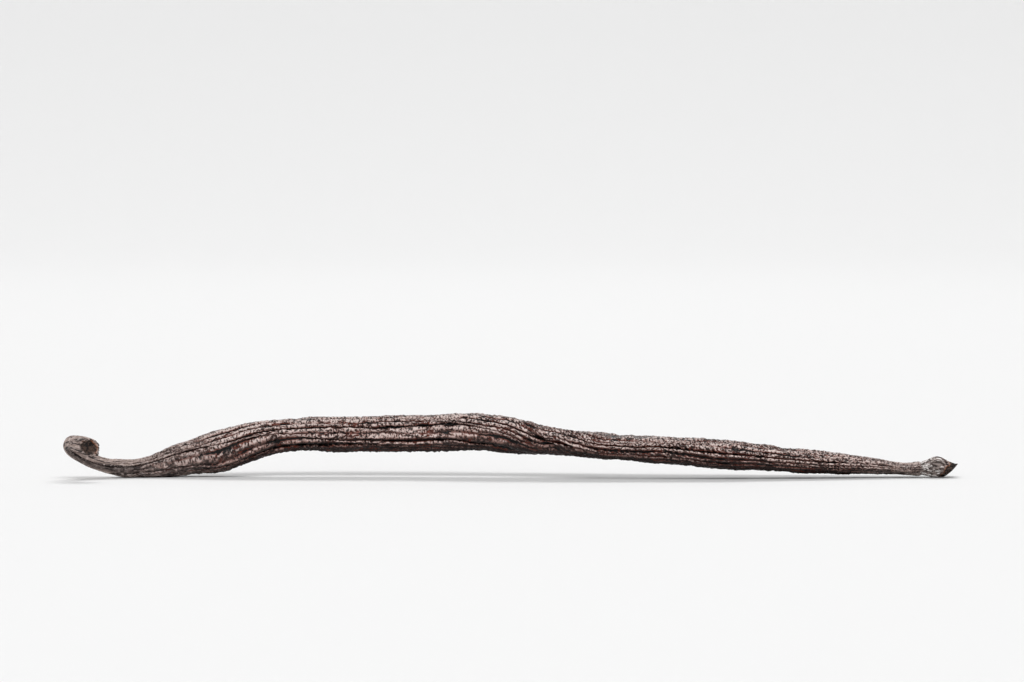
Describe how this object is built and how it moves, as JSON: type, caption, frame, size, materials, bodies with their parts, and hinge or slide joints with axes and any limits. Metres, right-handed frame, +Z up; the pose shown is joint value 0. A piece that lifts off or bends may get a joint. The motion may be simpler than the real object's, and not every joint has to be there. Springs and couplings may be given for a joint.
{
  "type": "vanilla pod",
  "caption": "Whole cured vanilla pod: a long flattened ribbed spindle with a curled stem end, a low arch and a slanted blossom end.",
  "frame": {"origin": "under the middle of the pod's box, on the surface it lies on", "axes": "+X along the pod from the curled stem end to the blossom end, +Z up"},
  "size_m": [0.1726, 0.0128, 0.0123],
  "materials": {
    "cured_skin": "dark brown cured pod skin, wrinkled lengthwise, with a slight oily sheen"
  },
  "bodies": {
    "root": {"pod": "cured_skin"}
  },
  "joints": []
}
